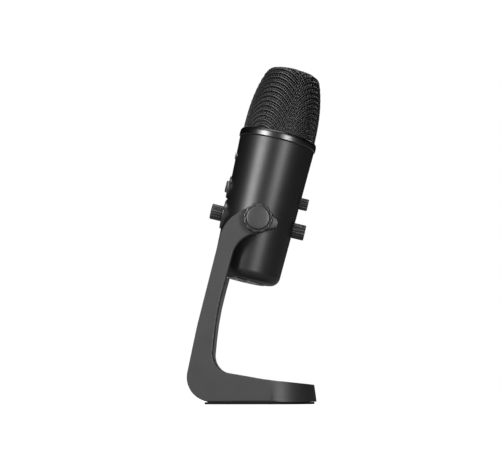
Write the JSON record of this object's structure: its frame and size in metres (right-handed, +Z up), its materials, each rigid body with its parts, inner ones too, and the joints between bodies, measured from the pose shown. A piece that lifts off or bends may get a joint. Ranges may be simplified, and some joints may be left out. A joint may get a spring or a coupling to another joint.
{
  "type": "desktop microphone",
  "caption": "Tapered desktop microphone with woven grille, turned controls and side clamp screws, tilting in a tall two-arm yoke with a horseshoe foot.",
  "frame": {"origin": "on the table, under the middle of the bounding box", "axes": "+Z up, -Y is the microphone's front (volume knob and mute button), the tilt pivot runs along X"},
  "size_m": [0.1014, 0.1113, 0.285],
  "materials": {
    "case_black": "satin black powder coat over the tapered tube",
    "collar_black": "polished black",
    "stand_grey": "fine matte dark grey powder coat",
    "mesh_black": "black coated woven wire",
    "lining_black": "fine black acoustic cloth",
    "foam_grey": "open cell foam",
    "plastic_black": "fine matte moulded",
    "gloss_black": "satin gloss moulded",
    "rubber_black": "matte moulded",
    "brass": "machined",
    "steel": "machined",
    "board_green": "solder mask over glass-fibre board",
    "chip_black": "moulded component cases",
    "badge_silver": "brushed blank plate",
    "light_ring": "translucent diffuser",
    "wire_red": "insulated lead"
  },
  "bodies": {
    "stand": {"stand_frame": "stand_grey", "foot_pad": "rubber_black", "arm_bush_left": "plastic_black", "arm_bush_right": "plastic_black"},
    "mic": {"body_shell": "case_black", "collar_ring": "collar_black", "grille": "mesh_black", "grille_lining": "lining_black", "foam_liner": "foam_grey", "volume_ring": "gloss_black", "mute_ring": "gloss_black", "mute_light_ring": "light_ring", "front_badge": "badge_silver", "capsule_deck": "plastic_black", "capsule_cradle": "plastic_black", "capsule_front": "steel", "capsule_rear_left": "steel", "capsule_rear_right": "steel", "capsule_lead": "wire_red", "inner_frame": "plastic_black", "main_board": "board_green", "front_board": "board_green", "rear_board": "board_green", "volume_pot": "chip_black", "pattern_switch": "chip_black", "gain_pot": "chip_black", "mute_switch": "chip_black", "port_panel": "plastic_black", "mount_bush": "brass", "usb_socket": "steel", "usb_tongue": "chip_black", "headphone_jack": "chip_black", "jack_bezel": "steel", "board_screw_1": "steel", "board_screw_2": "steel", "board_screw_3": "steel", "board_screw_4": "steel", "panel_screw_1": "steel", "panel_screw_2": "steel", "pivot_bush_left": "brass", "friction_washer_left": "rubber_black", "pivot_bush_right": "brass", "friction_washer_right": "rubber_black"},
    "volume_knob": {"volume_knob": "plastic_black", "volume_shaft": "steel"},
    "gain_knob": {"gain_knob": "plastic_black", "gain_shaft": "steel"},
    "pattern_knob": {"pattern_knob": "plastic_black", "pattern_shaft": "steel"},
    "mute_button": {"mute_button": "gloss_black", "mute_plunger": "chip_black"},
    "left_clamp_washer": {"clamp_washer_left": "plastic_black"},
    "left_clamp_knob": {"clamp_knob_left": "plastic_black", "clamp_cap_left": "plastic_black", "clamp_stud_left": "steel"},
    "right_clamp_washer": {"clamp_washer_right": "plastic_black"},
    "right_clamp_knob": {"clamp_knob_right": "plastic_black", "clamp_cap_right": "plastic_black", "clamp_stud_right": "steel"}
  },
  "joints": [
    {"name": "mic_tilt", "type": "hinge", "parent": "stand", "child": "mic", "pos_m": [0, 0.0022, 0.1509], "axis": [1, 0, 0], "continuous": true},
    {"name": "left_clamp_travel", "type": "slide", "parent": "mic", "child": "left_clamp_washer", "axis": [1, 0, 0], "range_m": [0, 0.002]},
    {"name": "left_clamp_turn", "type": "hinge", "parent": "left_clamp_washer", "child": "left_clamp_knob", "pos_m": [0, 0.0022, 0.1509], "axis": [1, 0, 0], "range_deg": [0, 720]},
    {"name": "right_clamp_travel", "type": "slide", "parent": "mic", "child": "right_clamp_washer", "axis": [-1, 0, 0], "range_m": [0, 0.002]},
    {"name": "right_clamp_turn", "type": "hinge", "parent": "right_clamp_washer", "child": "right_clamp_knob", "pos_m": [0, 0.0022, 0.1509], "axis": [-1, 0, 0], "range_deg": [0, 720]},
    {"name": "volume_turn", "type": "hinge", "parent": "mic", "child": "volume_knob", "pos_m": [0, -0.03243, 0.1609], "axis": [0, -0.9728, 0.2317], "range_deg": [-150, 150]},
    {"name": "gain_turn", "type": "hinge", "parent": "mic", "child": "gain_knob", "pos_m": [0, 0.04114, 0.16763], "axis": [0, 0.9728, -0.2317], "range_deg": [-150, 150]},
    {"name": "pattern_turn", "type": "hinge", "parent": "mic", "child": "pattern_knob", "pos_m": [0, 0.03664, 0.14444], "axis": [0, 0.9728, -0.2317], "range_deg": [-30, 60]},
    {"name": "mute_press", "type": "slide", "parent": "mic", "child": "mute_button", "axis": [0, 0.9728, -0.2317], "range_m": [0, 0.0008], "stiffness_N_per_m": 1500}
  ],
  "couplings": [
    {"joint": "left_clamp_travel", "follows": "left_clamp_turn", "m_per_rad": 0.00015915},
    {"joint": "right_clamp_travel", "follows": "right_clamp_turn", "m_per_rad": 0.00015915}
  ]
}
